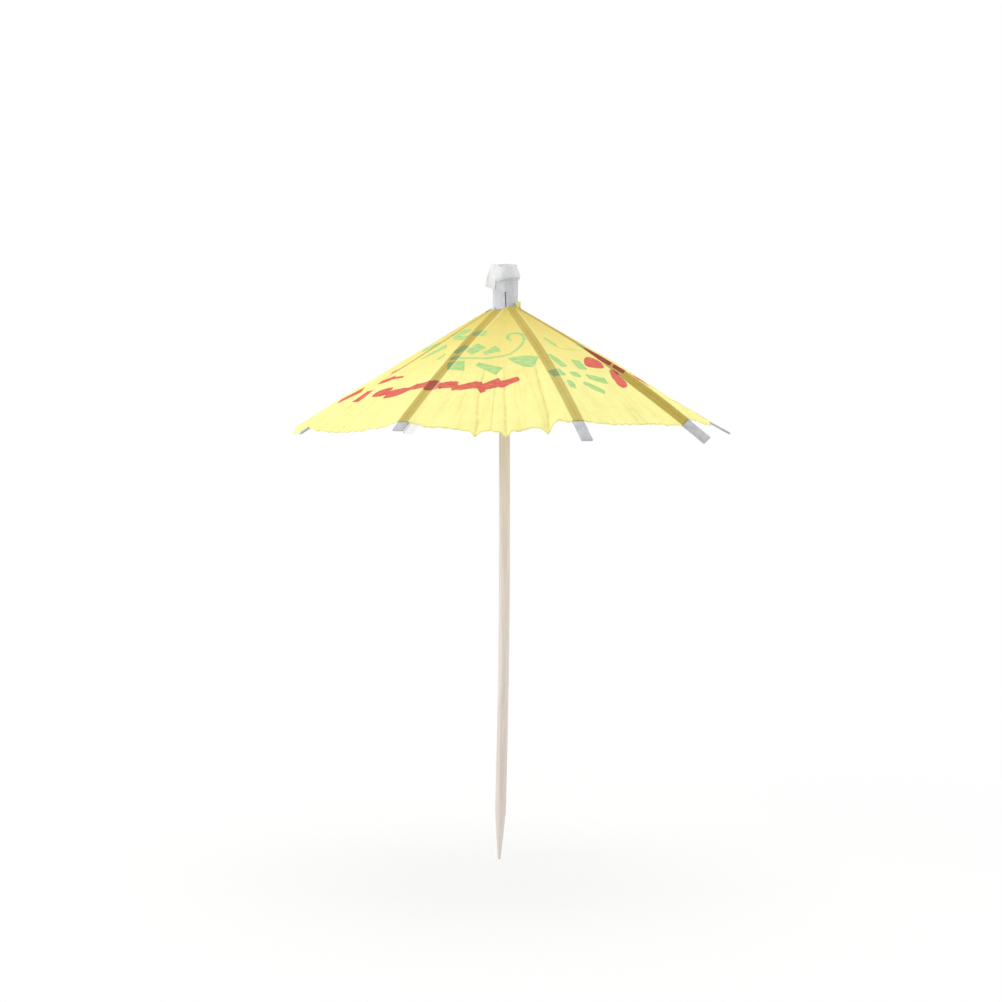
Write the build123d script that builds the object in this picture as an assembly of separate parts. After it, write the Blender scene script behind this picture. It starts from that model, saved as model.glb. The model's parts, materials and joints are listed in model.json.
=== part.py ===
"""Cocktail umbrella pick: a paper canopy on folding card ribs, carried by a pointed wooden pick.

Millimetres. Z runs up the pick. The origin is on the pick's axis where its point meets the straight
shank. Every solid stands where it is when the umbrella is open.
"""

import os
from math import acos, atan2, cos, degrees, floor, hypot, pi, radians, sin, tan

from build123d import *

# Pick
pick_length = 100.0
pick_diameter = 1.87
point_length = 8.6
tip_diameter = 0.45
top_shave = 0.03

# Ribs: the tines of the upper comb
rib_count = 8
rib_length = 42.5
rib_width = 1.85
card_thickness = 0.35
slit_width = 0.22
root_taper = 3.6
open_angle = 30.5
closed_angle = 80.0

# Collar and the film round it
collar_width = 4.25
collar_length = 5.09
slit_height = 2.6
film_height = 4.8
film_above_pick = 2.5
film_thickness = 0.06
film_tail = 2.5

# Struts, runner and retaining ring
strut_reach = 13.0
strut_width = 1.15
strut_thickness = 0.3
tab_length = 3.5
runner_length = 4.5
runner_slit_height = 1.4
ring_length = 2.4
ring_wall = 0.62

# Canopy paper
paper_thickness = 0.1
rib_overhang = 3.3
paper_hole = 0.7
scallops_per_half = 8
scallop_depth = 0.35

# Rolled newsprint packing
newsprint_thickness = 0.15
newsprint_gap = 0.02

# Clearances
crease_gap = 0.035
tab_setback = 0.45
side_gap = 0.07
paper_gap = 0.03
ring_gap = 0.03
runner_gap = 0.06
glue_gap = 0.01
film_gap = 0.06

# Levels and radii that follow
pick_radius = pick_diameter / 2
pick_top = pick_length - point_length
half_pitch = pi / rib_count
rib_pitch = 360 / rib_count
first_azimuth = rib_pitch / 2
theta = radians(open_angle)
collar_apothem = collar_width / 2
collar_bore = collar_apothem - card_thickness
collar_corner = collar_apothem / cos(half_pitch)
crease_radius = collar_apothem - card_thickness / 2
crease_z = pick_top - collar_length - card_thickness / 2 - crease_gap
root_width = 2 * collar_bore * tan(half_pitch) - side_gap

# Strut crease under the rib, then the runner's crease straight below the rib's own
strut_drop = card_thickness / 2 + strut_thickness / 2 + crease_gap
lift_x = strut_reach * cos(theta) - strut_drop * sin(theta)
lift_z = strut_reach * sin(theta) + strut_drop * cos(theta)
strut_length = hypot(lift_x, lift_z)
strut_angle = atan2(lift_z, lift_x)
strut_pivot = (crease_radius + lift_x, 0, crease_z - lift_z)
runner_pivot = (crease_radius, 0, crease_z - 2 * lift_z)
runner_top = runner_pivot[2] - strut_thickness / 2 - crease_gap
runner_bottom = runner_top - runner_length
ring_bottom = runner_bottom - ring_length
shank_top = ring_bottom - 0.5

# Paper planes: the strip on each rib, and the gore between two ribs
paper_level = card_thickness / 2 + paper_thickness / 2
crease_line_x = crease_radius + paper_level * sin(theta)
crease_line_z = crease_z + paper_level * cos(theta)
gore_start = (rib_width / 2 / tan(half_pitch) - crease_line_x) / cos(theta)
gore_apex_radius = rib_width / 2 / sin(half_pitch)
gore_apex_z = crease_line_z - gore_start * sin(theta)
gore_slope = atan2(tan(theta), cos(half_pitch))
gore_half_angle = acos(cos(theta) * cos(gore_slope) * cos(half_pitch) + sin(theta) * sin(gore_slope))
rim_radius = rib_length - rib_overhang - gore_start


def pleat_angle(fold):
    """Angle, in radians, of a half gore about its rib at a rib angle in degrees, pleated outward."""
    angle = radians(fold)
    flat = cos(angle) * cos(half_pitch)
    ratio = min(1.0, cos(gore_half_angle) / hypot(flat, sin(angle)))
    slope = atan2(sin(angle), flat) - acos(ratio)
    rise = sin(slope) - sin(angle) * cos(gore_half_angle)
    return acos(rise / (cos(angle) * sin(gore_half_angle)))


fold_travel = closed_angle - open_angle
pleat_travel = degrees(pleat_angle(closed_angle) - pleat_angle(open_angle))


def azimuth(index):
    """Compass angle of a rib, counted from 1."""
    return first_azimuth + (index - 1) * rib_pitch


def turned(shape, angle):
    """The shape turned round the pick's axis."""
    return Rot(0, 0, angle) * shape


def strip_outline(inner_radius, half_turns, thickness, pitch):
    """End outline of a strip rolled outward, drawn with half circles on two centres."""
    lines = []
    for side in (0, thickness):
        for k in range(half_turns):
            centre = 0 if k % 2 == 0 else pitch / 2
            radius = inner_radius + side + k * pitch / 2
            lines.append(CenterArc((centre, 0), radius, 180 * (k % 2), 180))
    last = inner_radius + (half_turns - 1) * pitch / 2
    outward = 1 if half_turns % 2 == 0 else -1
    end_x = last + pitch / 2 if outward == 1 else -last
    lines.append(Line((inner_radius, 0), (inner_radius + thickness, 0)))
    lines.append(Line((end_x, 0), (end_x + outward * thickness, 0)))
    return make_face(lines), end_x


def packing(inner_radius, bottom, length):
    """Rolled newsprint that fills the space from the inner radius to the bore of a comb."""
    pitch = newsprint_thickness + newsprint_gap
    space = collar_bore - glue_gap - inner_radius - newsprint_thickness
    half_turns = max(2, floor(2 * space / pitch))
    outline, _ = strip_outline(inner_radius, half_turns, newsprint_thickness, pitch)
    return extrude(Pos(0, 0, bottom) * outline, length)


def comb_tube(bottom, length, slit_from, slit_length):
    """Rolled comb: a tube with one flat for each tine and a slit at each corner."""
    turn = first_azimuth + degrees(half_pitch)
    outer = RegularPolygon(collar_apothem, rib_count, major_radius=False, rotation=turn)
    inner = RegularPolygon(collar_bore, rib_count, major_radius=False, rotation=turn)
    tube = extrude(Pos(0, 0, bottom) * (outer - inner), length)
    slit = Pos(collar_corner, 0, slit_from) * Box(
        3 * card_thickness, slit_width, slit_length, align=(Align.CENTER, Align.CENTER, Align.MIN)
    )
    for k in range(rib_count):
        tube -= turned(slit, turn + k * rib_pitch)
    return tube


def make_pick():
    """Turned pick: blunt point, straight shank and an upper end shaved a little for the packing."""
    profile = Polyline(
        (0, -point_length),
        (tip_diameter / 2, -point_length),
        (pick_radius, 0),
        (pick_radius, shank_top),
        (pick_radius - top_shave, pick_top),
        (0, pick_top),
        close=True,
    )
    return revolve(Plane.XZ * make_face(profile), Axis.Z)


def make_film():
    """Film wound one and a half times round the collar, its outer end standing off as a flag."""
    pitch = film_thickness + film_gap
    outline, end_x = strip_outline(collar_corner + film_gap, 4, film_thickness, pitch)
    flag = Pos(end_x + film_thickness / 2, film_tail / 2) * Rectangle(film_thickness, film_tail)
    bottom = pick_top + film_above_pick - film_height
    sleeve = extrude(Pos(0, 0, bottom) * mirror(outline + flag, Plane.XZ), film_height)
    trim = Plane((end_x, -film_tail, bottom), x_dir=(1, 0, 0), z_dir=(0, -1, 0.45))
    sleeve = split(sleeve, trim, keep=Keep.BOTTOM)
    return turned(sleeve, 232)


def rib_plane():
    """Plane of the rib at azimuth 0: along the rib, across it, and up from its face."""
    return Plane(
        (crease_radius, 0, crease_z),
        x_dir=(cos(theta), 0, -sin(theta)),
        z_dir=(sin(theta), 0, cos(theta)),
    )


def make_rib():
    """Card tine with a rounded crease at its root, narrowed there so that the closed ribs fit."""
    half = card_thickness / 2
    edges = [
        Line((0, half), (rib_length, half)),
        Line((rib_length, half), (rib_length, -half)),
        Line((rib_length, -half), (0, -half)),
        ThreePointArc((0, -half), (-half, 0), (0, half)),
    ]
    side = Plane((crease_radius, 0, crease_z), x_dir=(cos(theta), 0, -sin(theta)), z_dir=(0, -1, 0))
    blade = extrude(side * make_face(edges), rib_width, both=True)
    plan = Polyline(
        (-card_thickness, root_width / 2),
        (0, root_width / 2),
        (root_taper, rib_width / 2),
        (rib_length + 1, rib_width / 2),
        (rib_length + 1, -rib_width / 2),
        (root_taper, -rib_width / 2),
        (0, -root_width / 2),
        (-card_thickness, -root_width / 2),
        close=True,
    )
    return blade & extrude(rib_plane() * make_face(plan), card_thickness, both=True)


def make_strut():
    """Card tine of the runner, with a rounded crease at each end."""
    side = Plane(strut_pivot, x_dir=(-cos(strut_angle), 0, -sin(strut_angle)), z_dir=(0, -1, 0))
    outline = Pos(strut_length / 2, 0) * SlotCenterToCenter(strut_length, strut_thickness)
    return extrude(side * outline, strut_width / 2, both=True)


def make_tab():
    """End of a strut, glued flat under its rib on the side of the hub."""
    middle = strut_reach - tab_setback - tab_length / 2
    level = -card_thickness / 2 - strut_thickness / 2
    return rib_plane() * Pos(middle, 0, level) * Box(tab_length, strut_width, strut_thickness)


def make_paper_strip():
    """Paper glued on the upper face of a rib."""
    start = gore_start + paper_hole
    length = rim_radius + gore_start - start
    return rib_plane() * Pos(start + length / 2, 0, paper_level) * Box(length, rib_width, paper_thickness)


def make_half_gore(side):
    """Half of the paper between two ribs, from the gore's middle (azimuth 0) to one rib."""
    shift = paper_gap / sin(gore_half_angle / 2)
    origin_x = shift * cos(gore_half_angle / 2)
    origin_y = shift * sin(gore_half_angle / 2)

    def point(radius, angle):
        return (origin_x + radius * cos(angle), side * (origin_y + radius * sin(angle)))

    rim = rim_radius - shift
    step = gore_half_angle / scallops_per_half
    edges = [Line(point(paper_hole, 0), point(rim, 0))]
    for k in range(scallops_per_half):
        crest = point(rim + scallop_depth, (k + 0.5) * step)
        edges.append(ThreePointArc(point(rim, k * step), crest, point(rim, (k + 1) * step)))
    edges.append(Line(point(rim, gore_half_angle), point(paper_hole, gore_half_angle)))
    edges.append(Line(point(paper_hole, gore_half_angle), point(paper_hole, 0)))
    plane = Plane(
        (gore_apex_radius, 0, gore_apex_z),
        x_dir=(cos(gore_slope), 0, -sin(gore_slope)),
        z_dir=(sin(gore_slope), 0, cos(gore_slope)),
    )
    return extrude(plane * make_face(edges), paper_thickness / 2, both=True)


def make_ring():
    """Slice of plastic tube that grips the pick."""
    inner = pick_radius + ring_gap
    ring = Cylinder(inner + ring_wall, ring_length) - Cylinder(inner, ring_length)
    ring = fillet(ring.edges().filter_by(GeomType.CIRCLE).sort_by(SortBy.RADIUS)[-2:], ring_wall / 4)
    return Pos(0, 0, ring_bottom + ring_length / 2) * ring


def make_nodes():
    """All the solids by node name."""
    collar_z = pick_top - collar_length
    nodes = {
        "pick": make_pick(),
        "collar": comb_tube(collar_z, collar_length, collar_z, slit_height),
        "collar_packing": packing(pick_radius + glue_gap, collar_z, collar_length),
        "film_sleeve": make_film(),
        "runner": comb_tube(
            runner_bottom, runner_length, runner_top - runner_slit_height, runner_slit_height
        ),
        "runner_packing": packing(pick_radius + runner_gap, runner_bottom, runner_length),
        "retaining_ring": make_ring(),
    }
    rib = make_rib()
    strut = make_strut()
    tab = make_tab()
    strip = make_paper_strip()
    for index in range(1, rib_count + 1):
        angle = azimuth(index)
        nodes[f"rib_{index}"] = turned(rib, angle)
        nodes[f"strut_{index}"] = turned(strut, angle)
        nodes[f"strut_tab_{index}"] = turned(tab, angle)
        nodes[f"canopy_strip_{index}"] = turned(strip, angle)
        nodes[f"canopy_{index}_right"] = turned(make_half_gore(-1), angle + rib_pitch / 2)
        nodes[f"canopy_{index}_left"] = turned(make_half_gore(1), angle - rib_pitch / 2)
    return nodes


if __name__ == "__main__":
    os.makedirs("parts", exist_ok=True)
    for name, solid in make_nodes().items():
        export_step(solid, f"parts/{name}.step")
    print(f"fold {fold_travel:.3f} deg, pleat {pleat_travel:.4f} deg, runner crease {runner_pivot}")
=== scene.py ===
# %% [markdown]
# # A cocktail umbrella pick
# The real thing is a wooden pick, two rolled combs of grey card and a disc of printed paper. The upper
# comb's tines are the ribs, and the lower comb's tines are the struts that push the ribs open. The packed
# model holds all of these at their true size, with their joints. This lesson loads it as a fixed frame
# and builds the looks around it, so every length below is either measured on the frame or is a small
# irregularity that a hand-made paper toy has.

# %% load the frame
import json
import random
from collections import namedtuple
from math import acos, atan2, cos, degrees, pi, radians, sin, tan, tau

import bmesh
import bpy
import numpy as np
from mathutils import Matrix, Vector, noise


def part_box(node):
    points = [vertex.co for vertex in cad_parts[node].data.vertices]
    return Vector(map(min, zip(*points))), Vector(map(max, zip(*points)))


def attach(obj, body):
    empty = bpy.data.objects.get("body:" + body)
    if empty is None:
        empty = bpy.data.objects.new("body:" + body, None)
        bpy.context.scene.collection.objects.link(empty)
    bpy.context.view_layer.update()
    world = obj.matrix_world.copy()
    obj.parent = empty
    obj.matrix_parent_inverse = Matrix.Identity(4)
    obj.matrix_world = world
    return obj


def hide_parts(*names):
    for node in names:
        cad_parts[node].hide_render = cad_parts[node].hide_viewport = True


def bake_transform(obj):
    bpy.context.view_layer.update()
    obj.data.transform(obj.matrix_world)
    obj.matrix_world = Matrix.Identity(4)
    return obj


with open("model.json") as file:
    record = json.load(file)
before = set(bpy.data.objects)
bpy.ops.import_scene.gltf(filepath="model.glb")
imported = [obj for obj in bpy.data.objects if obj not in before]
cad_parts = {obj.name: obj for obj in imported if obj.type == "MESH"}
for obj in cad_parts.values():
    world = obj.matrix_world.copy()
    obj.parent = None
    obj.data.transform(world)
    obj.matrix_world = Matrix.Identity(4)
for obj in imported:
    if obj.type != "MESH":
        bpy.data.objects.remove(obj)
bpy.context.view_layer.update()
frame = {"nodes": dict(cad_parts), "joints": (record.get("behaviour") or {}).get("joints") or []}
nodes = frame["nodes"]
joints = {joint["name"]: joint for joint in frame["joints"]}
rib_count = sum(name.endswith("_fold") for name in joints)
MM = 0.001
UP = Vector((0, 0, 1))
print(f"frame: {len(nodes)} nodes, {len(joints)} joints, {rib_count} ribs")

# %% [markdown]
# ## Reading the frame
# Each rib has its own directions: along it from the crease at the collar, across it, and up from its
# face. The fold joint gives the crease and the direction across, and the paper's pleat joint gives the
# direction along. A span is how far a node reaches along such a direction, which is how the lesson reads
# a thickness or a length without copying it from anywhere.


# %% rib directions and spans
class Rib:
    """Crease point of one rib and the directions along it, across it and up from its face."""

    def __init__(self, index):
        fold = joints[f"rib_{index}_fold"]
        self.index = index
        self.crease = Vector(fold["pos_m"])
        self.across = Vector(fold["axis"]).normalized()
        self.along = Vector(joints[f"gore_{index}_right_pleat"]["axis"]).normalized()
        self.up = self.along.cross(self.across)
        self.radial = Vector((self.crease.x, self.crease.y, 0)).normalized()

    def point(self, along, across=0.0, up=0.0):
        """A place measured from the crease."""
        return self.crease + self.along * along + self.across * across + self.up * up


def span(node, origin, direction):
    """Lowest and highest reach of a node along a direction from a point."""
    reach = [(vertex.co - origin).dot(direction) for vertex in nodes[node].data.vertices]
    return min(reach), max(reach)


ribs = {index: Rib(index) for index in range(1, rib_count + 1)}
first = ribs[1]
half_pitch = pi / rib_count
card = 2 * span("rib_1", first.crease, first.up)[1]
rib_length = span("rib_1", first.crease, first.along)[1]
rib_width = 2 * span("rib_1", first.crease, first.across)[1]
slope = -atan2(first.along.z, Vector(first.along.xy).length)
print(f"rib {rib_length / MM:.1f} x {rib_width / MM:.2f} x {card / MM:.2f} mm, {degrees(slope):.0f} deg")

# %% [markdown]
# ## Helpers for meshes
# A bmesh is finished into an object with its place in its mesh. Faces are smooth, and edges sharper than
# a set angle stay crisp, as cut card and wood do.


# %% mesh helpers
def finish_piece(bm, name, *materials, sharp_angle=40):
    """An object made of a bmesh, at the origin, smooth except at its sharp edges."""
    mesh = bpy.data.meshes.new(name)
    bm.to_mesh(mesh)
    bm.free()
    for material in materials:
        mesh.materials.append(material)
    mesh.shade_smooth()
    mesh.set_sharp_from_angle(angle=radians(sharp_angle))
    piece = bpy.data.objects.new(name, mesh)
    bpy.context.scene.collection.objects.link(piece)
    return piece


def only(kind, geometry):
    """The items of one kind, such as vertices, in what an operator gives back."""
    return [item for item in geometry if isinstance(item, kind)]


def clean(bm, distance=1e-6):
    """Merges doubles, then turns every face outwards."""
    bmesh.ops.remove_doubles(bm, verts=bm.verts, dist=distance)
    bmesh.ops.recalc_face_normals(bm, faces=bm.faces)


def crisp_edges(bm, angle):
    """Edges where two faces meet more sharply than an angle."""
    return [e for e in bm.edges if len(e.link_faces) == 2 and e.calc_face_angle() > radians(angle)]


def round_edges(bm, edges, width, segments=2):
    """A small round along edges."""
    bmesh.ops.bevel(
        bm, geom=edges, offset=width, segments=segments, profile=0.5, affect="EDGES", material=-1
    )


def smoothstep(low, high, value):
    """Goes smoothly from 0 at low to 1 at high."""
    share = min(1.0, max(0.0, (value - low) / (high - low)))
    return share * share * (3 - 2 * share)


# %% [markdown]
# ## Helpers for materials
# Every finish is a node tree on one Principled BSDF. A small helper places a node and fills its inputs
# with values or links, so each material below reads as a list of what it does. Colours are written as
# they look on screen, from 0 to 255, and turned into the linear light that the shader wants.


# %% node helpers
def colour(red, green, blue):
    """Screen colour as linear light, with full alpha."""

    def linear(value):
        share = value / 255
        return share / 12.92 if share <= 0.04045 else ((share + 0.055) / 1.055) ** 2.4

    return (linear(red), linear(green), linear(blue), 1.0)


def place(tree, kind, inputs=None, **settings):
    """A node with its settings, and each input set to a value or linked to a socket."""
    node = tree.nodes.new(kind)
    for name, value in settings.items():
        setattr(node, name, value)
    for name, value in (inputs or {}).items():
        if isinstance(value, bpy.types.NodeSocket):
            tree.links.new(value, node.inputs[name])
        else:
            node.inputs[name].default_value = value
    return node


def calculate(tree, operation, first_value, second_value=0.0):
    """Result socket of a math node."""
    return place(tree, "ShaderNodeMath", {0: first_value, 1: second_value}, operation=operation).outputs[0]


def mix(tree, factor, under, over, blend="MIX"):
    """Colour socket of one colour laid over another."""
    inputs = {0: factor, 6: under, 7: over}
    return place(tree, "ShaderNodeMix", inputs, data_type="RGBA", blend_type=blend).outputs[2]


def ramp(tree, value, low, high, start=0.0, end=1.0):
    """Value taken smoothly from start, at low, to end, at high."""
    inputs = {"Value": value, "From Min": low, "From Max": high, "To Min": start, "To Max": end}
    return place(tree, "ShaderNodeMapRange", inputs, interpolation_type="SMOOTHSTEP").outputs[0]


def clouds(tree, vector, scale, detail=3.0, roughness=0.55):
    """Noise socket, from 0 to 1."""
    inputs = {"Vector": vector, "Scale": scale, "Detail": detail, "Roughness": roughness}
    return place(tree, "ShaderNodeTexNoise", inputs).outputs["Fac"]


def new_material(name, **constants):
    """A material with an empty Principled BSDF, whose constants are set on its own sockets."""
    material = bpy.data.materials.new(name)
    material.use_nodes = True
    tree = material.node_tree
    shader = tree.nodes["Principled BSDF"]
    for socket, value in constants.items():
        shader.inputs[socket.replace("_", " ")].default_value = value
    return material, tree, shader


def object_place(tree, scale=(1, 1, 1)):
    """Object coordinates, stretched."""
    source = place(tree, "ShaderNodeTexCoord").outputs["Object"]
    return place(tree, "ShaderNodeMapping", {"Vector": source, "Scale": scale}).outputs["Vector"]


def group(name, tree, inputs):
    """A shared effect placed in a material with its own values."""
    return place(tree, "ShaderNodeGroup", inputs, node_tree=bpy.data.node_groups[name]).outputs


def new_group(name, inputs, outputs):
    """An empty node group with named sockets, and its input and output nodes."""
    tree = bpy.data.node_groups.new(name, "ShaderNodeTree")
    for socket, (kind, value) in inputs.items():
        made = tree.interface.new_socket(socket, in_out="INPUT", socket_type=kind)
        if value is not None:
            made.default_value = value
    for socket, kind in outputs.items():
        tree.interface.new_socket(socket, in_out="OUTPUT", socket_type=kind)
    return tree, place(tree, "NodeGroupInput").outputs, place(tree, "NodeGroupOutput").inputs


VECTOR, NUMBER = "NodeSocketVector", "NodeSocketFloat"

# %% [markdown]
# ## Fibre, a shared effect
# Card, tissue and newsprint are all felted fibres: faint clouds where the pulp is thicker, and short dark
# or pale flecks. One node group gives both, and each material chooses their size and strength. The same
# group also gives a height, because thick pulp stands a little proud.

# %% fibre group
tree, given, gives = new_group(
    "Fibre",
    {"Vector": (VECTOR, None), "Cloud Scale": (NUMBER, 800.0), "Fleck Scale": (NUMBER, 4000.0)},
    {"Cloud": NUMBER, "Fleck": NUMBER, "Height": NUMBER},
)
cloud = clouds(tree, given["Vector"], given["Cloud Scale"], 5.0)
fleck_noise = clouds(tree, given["Vector"], given["Fleck Scale"], 2.0)
fleck = ramp(tree, fleck_noise, 0.6, 0.72)
tree.links.new(cloud, gives["Cloud"])
tree.links.new(fleck, gives["Fleck"])
tree.links.new(calculate(tree, "ADD", cloud, fleck_noise), gives["Height"])
print("group Fibre:", [socket.name for socket in gives if socket.name])

# %% [markdown]
# ## Grey card
# The combs are punched from grey board, the kind used for cheap boxes: bluish grey, matt and flecked.
# Its cut edges are the same grey all through, so one material does for faces and edges. The collar gets a
# paler copy of the grey, which is painted light, since collar and ribs are one comb. The undersides get a
# near-white copy, also painted light, as pale as the one brightly lit underside in the picture. Noise on
# Object coordinates is enough, because each strip stays where it was modelled.


# %% grey card
def card_material(name, tint, cloud_strength):
    """Matt grey board with pulp clouds and flecks."""
    material, tree, shader = new_material(name, Roughness=0.82, Specular_IOR_Level=0.25)
    inputs = {"Vector": object_place(tree), "Cloud Scale": 900.0, "Fleck Scale": 5200.0}
    fibre = group("Fibre", tree, inputs)
    darker = tuple(0.82 * value for value in tint[:3]) + (1.0,)
    paler = tuple(min(1.0, 1.12 * value) for value in tint[:3]) + (1.0,)
    body = mix(tree, ramp(tree, fibre["Cloud"], 0.35, 0.7, 0.0, cloud_strength), paler, darker)
    flecked = mix(tree, calculate(tree, "MULTIPLY", fibre["Fleck"], 0.35), body, colour(150, 150, 156))
    tree.links.new(flecked, shader.inputs["Base Color"])
    tree.links.new(ramp(tree, fibre["Cloud"], 0.3, 0.7, 0.74, 0.9), shader.inputs["Roughness"])
    bump = place(tree, "ShaderNodeBump", {"Strength": 0.25, "Distance": 0.00005, "Height": fibre["Height"]})
    tree.links.new(bump.outputs[0], shader.inputs["Normal"])
    return material


rib_card = card_material("rib_card", colour(187, 188, 191), 0.6)
# A paler copy of the rib card for the collar: painted light.
lit_collar_card = card_material("lit_collar_card", colour(206, 209, 217), 0.5)
# A near-white copy for the undersides: painted light.
painted_light_underside_card = card_material("painted_light_underside_card", colour(244, 244, 246), 0.2)
print("card finishes:", rib_card.name, lit_collar_card.name, painted_light_underside_card.name)

# %% [markdown]
# ## Pale wood
# The pick is birch or bamboo, turned and sanded, nearly white with a warm grey cast. Its grain runs along
# the pick, so the noise is squeezed along that direction. Two scales make it believable: broad streaks of
# colour, and fine pores that also dent the surface.


# %% pale wood
def wood_material():
    """Straight-grained pale wood, with its grain along Z."""
    material, tree, shader = new_material("pale_wood", Roughness=0.6, Specular_IOR_Level=0.3)
    streak = clouds(tree, object_place(tree, (1, 1, 0.035)), 2600.0, 4.0, 0.6)
    pores = clouds(tree, object_place(tree, (1, 1, 0.02)), 9000.0, 2.0)
    patches = clouds(tree, object_place(tree, (1, 1, 0.3)), 160.0, 2.0)
    body = mix(tree, ramp(tree, streak, 0.35, 0.68), colour(231, 221, 214), colour(217, 206, 199))
    body = mix(tree, ramp(tree, patches, 0.45, 0.7, 0.0, 0.35), body, colour(234, 226, 220))
    pore_mask = ramp(tree, pores, 0.6, 0.72, 0.0, 0.35)
    tree.links.new(mix(tree, pore_mask, body, colour(198, 178, 160)), shader.inputs["Base Color"])
    tree.links.new(ramp(tree, streak, 0.3, 0.7, 0.52, 0.7), shader.inputs["Roughness"])
    height = calculate(tree, "SUBTRACT", streak, pore_mask)
    bump = place(tree, "ShaderNodeBump", {"Strength": 0.3, "Distance": 0.00004, "Height": height})
    tree.links.new(bump.outputs[0], shader.inputs["Normal"])
    return material


pale_wood = wood_material()
print("wood finish:", pale_wood.name)

# %% [markdown]
# ## Milky film
# A scrap of tape is wound round the top of the collar and left a little loose. Where it sticks to the card
# it is nearly clear, and where it stands free it turns milky. The film's own mesh stores how hazy each
# point is, and the material uses that as Alpha, with a little cloudiness of its own.


# %% milky film
def film_material():
    """Thin film, clear where it sticks and milky where it stands free."""
    material, tree, shader = new_material("milky_film", Roughness=0.3, Specular_IOR_Level=0.5)
    haze = place(tree, "ShaderNodeAttribute", attribute_name="haze").outputs["Fac"]
    patches = clouds(tree, object_place(tree), 650.0, 3.0)
    alpha = calculate(tree, "MULTIPLY", haze, ramp(tree, patches, 0.3, 0.7, 0.9, 1.15))
    tree.links.new(alpha, shader.inputs["Alpha"])
    body = mix(tree, ramp(tree, patches, 0.35, 0.65), colour(234, 236, 239), colour(224, 226, 230))
    tree.links.new(body, shader.inputs["Base Color"])
    return material


milky_film = film_material()
print("film finish:", milky_film.name)

# %% [markdown]
# ## Newsprint and plastic
# The combs are packed out with a rolled scrap of old newspaper, seen only end-on: grey-beige pulp with
# smudges of ink and no lettering. Its grey and its smudges are darker than newsprint is: painted shade for
# the inside of the gaping slit. The ring that stops the runner is a slice of soft plastic tube, faintly
# clouded.


# %% newsprint and plastic
def newsprint_material():
    """Grey-beige pulp with soft smudges of ink, both made dark as painted shade."""
    material, tree, shader = new_material("newsprint_roll", Roughness=0.9, Specular_IOR_Level=0.2)
    inputs = {"Vector": object_place(tree), "Cloud Scale": 1500.0, "Fleck Scale": 6000.0}
    fibre = group("Fibre", tree, inputs)
    body = mix(tree, fibre["Cloud"], colour(176, 172, 166), colour(148, 145, 141))
    # Ink smudges, laid on heavily as painted shade.
    smudge_and_shade = ramp(tree, clouds(tree, object_place(tree, (1, 1, 2.5)), 1100.0, 2.0), 0.55, 0.68, 0.0, 0.5)
    tree.links.new(mix(tree, smudge_and_shade, body, colour(112, 111, 112)), shader.inputs["Base Color"])
    bump = place(tree, "ShaderNodeBump", {"Strength": 0.3, "Distance": 0.00004, "Height": fibre["Height"]})
    tree.links.new(bump.outputs[0], shader.inputs["Normal"])
    return material


def ring_material():
    """Soft, faintly clouded plastic."""
    material, tree, shader = new_material("clouded_plastic", Roughness=0.38, Specular_IOR_Level=0.5)
    haze = clouds(tree, object_place(tree), 900.0, 3.0)
    body = mix(tree, ramp(tree, haze, 0.35, 0.65), colour(226, 228, 229), colour(210, 214, 217))
    tree.links.new(body, shader.inputs["Base Color"])
    tree.links.new(ramp(tree, haze, 0.3, 0.7, 0.32, 0.46), shader.inputs["Roughness"])
    return material


newsprint = newsprint_material()
ring_plastic = ring_material()
print("hidden finishes:", newsprint.name, ring_plastic.name)

# %% [markdown]
# ## Printed tissue
# The canopy is thin tissue paper dyed yellow, block-printed with loose dabs of red and green. It lets
# light through, so it glows between the ribs. Along each rib it turns olive: partly the grey card showing
# through, and partly painted shade where the card blocks the light coming through the paper. The print
# isn't drawn with a texture file. The print can't be drawn with a texture file here. Instead each vertex
# of the paper stores its distance to the nearest leaf stroke and to the nearest blossom stroke, and the
# material turns those distances into ink with a ragged edge. A third stored distance, to the edge of the
# rib, makes the olive band with its painted shade.

# %% ink group
tree, given, gives = new_group(
    "Block print ink",
    {"Vector": (VECTOR, None), "Distance": (NUMBER, 1.0), "Ragged": (NUMBER, 0.45)},
    {"Mask": NUMBER, "Density": NUMBER},
)
wobble = calculate(tree, "SUBTRACT", clouds(tree, given["Vector"], 2.6, 4.0, 0.65), 0.5)
edge = place(
    tree, "ShaderNodeMath", {0: wobble, 1: given["Ragged"], 2: given["Distance"]}, operation="MULTIPLY_ADD"
).outputs[0]
tree.links.new(ramp(tree, edge, -0.07, 0.05, 1.0, 0.0), gives["Mask"])
brushed = place(
    tree, "ShaderNodeMapping",
    {"Vector": given["Vector"], "Rotation": (0, 0, radians(35)), "Scale": (0.5, 2.4, 1)},
).outputs["Vector"]
blotch = clouds(tree, brushed, 1.5, 5.0, 0.7)
rim_of_ink = ramp(tree, edge, -0.3, -0.02, 0.0, 0.3)
tree.links.new(calculate(tree, "ADD", ramp(tree, blotch, 0.35, 0.65), rim_of_ink), gives["Density"])
print("group Block print ink:", [socket.name for socket in gives if socket.name])

# %% [markdown]
# The tissue's colour runs from a deep yellow at the hub to a pale one at the rim. That is partly the
# paper's own colour and partly painted light: painted shade at the hub, where the folds crowd together,
# and a painted glow towards the rim. A quarter of the light goes through, so a Translucent shader is mixed
# in. The underside has the same finish with the ink bleeding through more faintly.


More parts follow.
